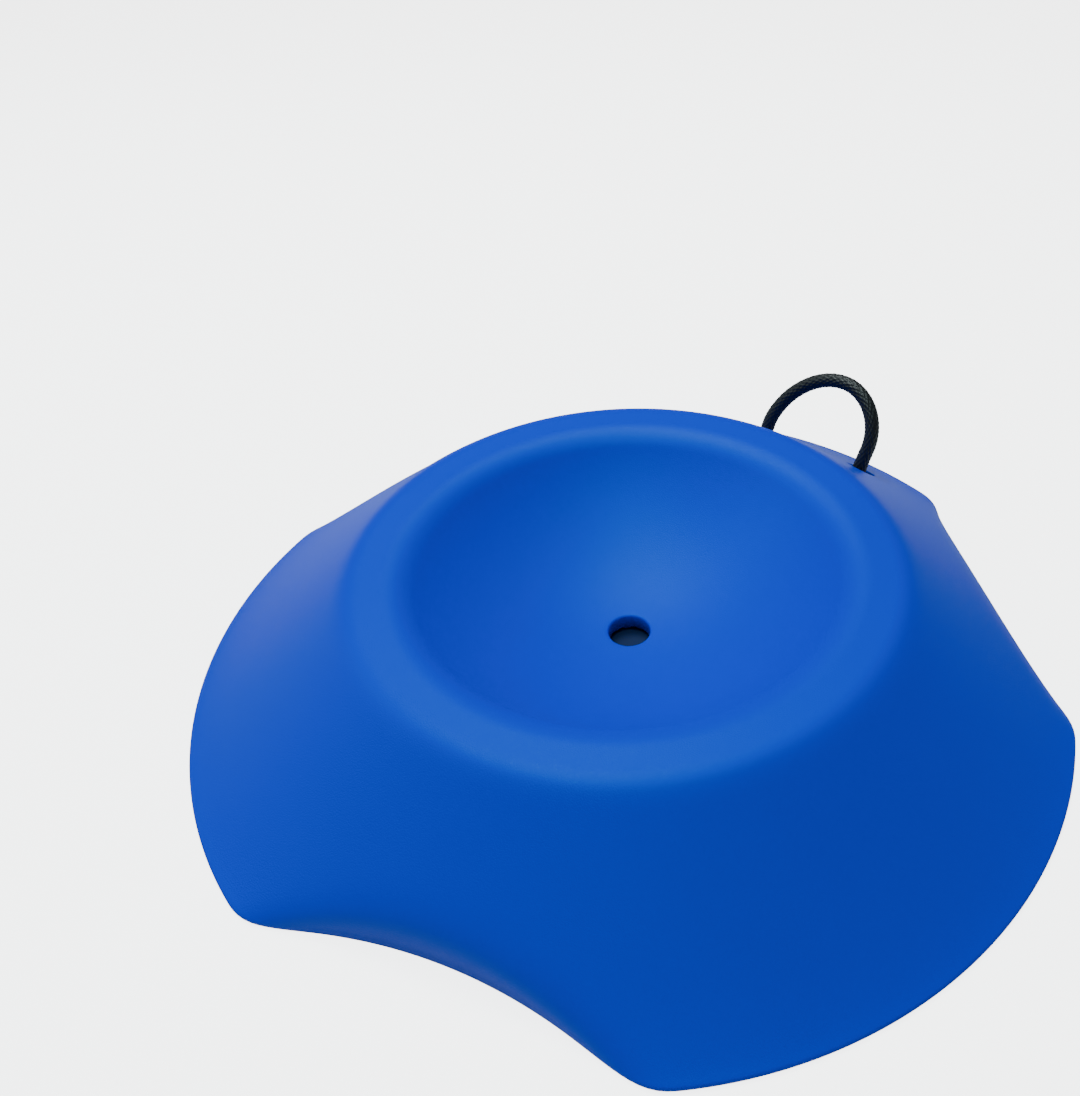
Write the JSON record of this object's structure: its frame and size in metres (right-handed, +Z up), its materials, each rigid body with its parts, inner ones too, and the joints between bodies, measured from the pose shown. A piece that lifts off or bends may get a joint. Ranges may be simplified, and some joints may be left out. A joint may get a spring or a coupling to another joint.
{
  "type": "wheel chock",
  "caption": "Low three-lobed moulded dock that cups a trailer jack's wheel in a dished bowl, with a short rope loop for carrying.",
  "frame": {"origin": "the dock's upright axis, through the middle of the bowl and its drain hole, at the ground", "axes": "+Z up, +Y towards the middle of the lobe that carries the rope loop, +X to its right seen from above"},
  "size_m": [0.3048, 0.2907, 0.0497],
  "materials": {
    "moulding": "fine-grained blue moulding",
    "rope": "black braided cord"
  },
  "bodies": {
    "dock": {"dock_shell": "moulding", "rope_tail_right": "rope", "rope_tail_left": "rope", "knot_right": "rope", "knot_left": "rope"},
    "handle": {"rope_loop": "rope"}
  },
  "joints": [
    {"name": "handle_swing", "type": "hinge", "parent": "dock", "child": "handle", "pos_m": [0.0365, 0.11939, 0.022], "axis": [-0.9563, 0.2924, 0], "range_deg": [-72, 90], "stiffness_Nm_per_rad": 0.02}
  ]
}
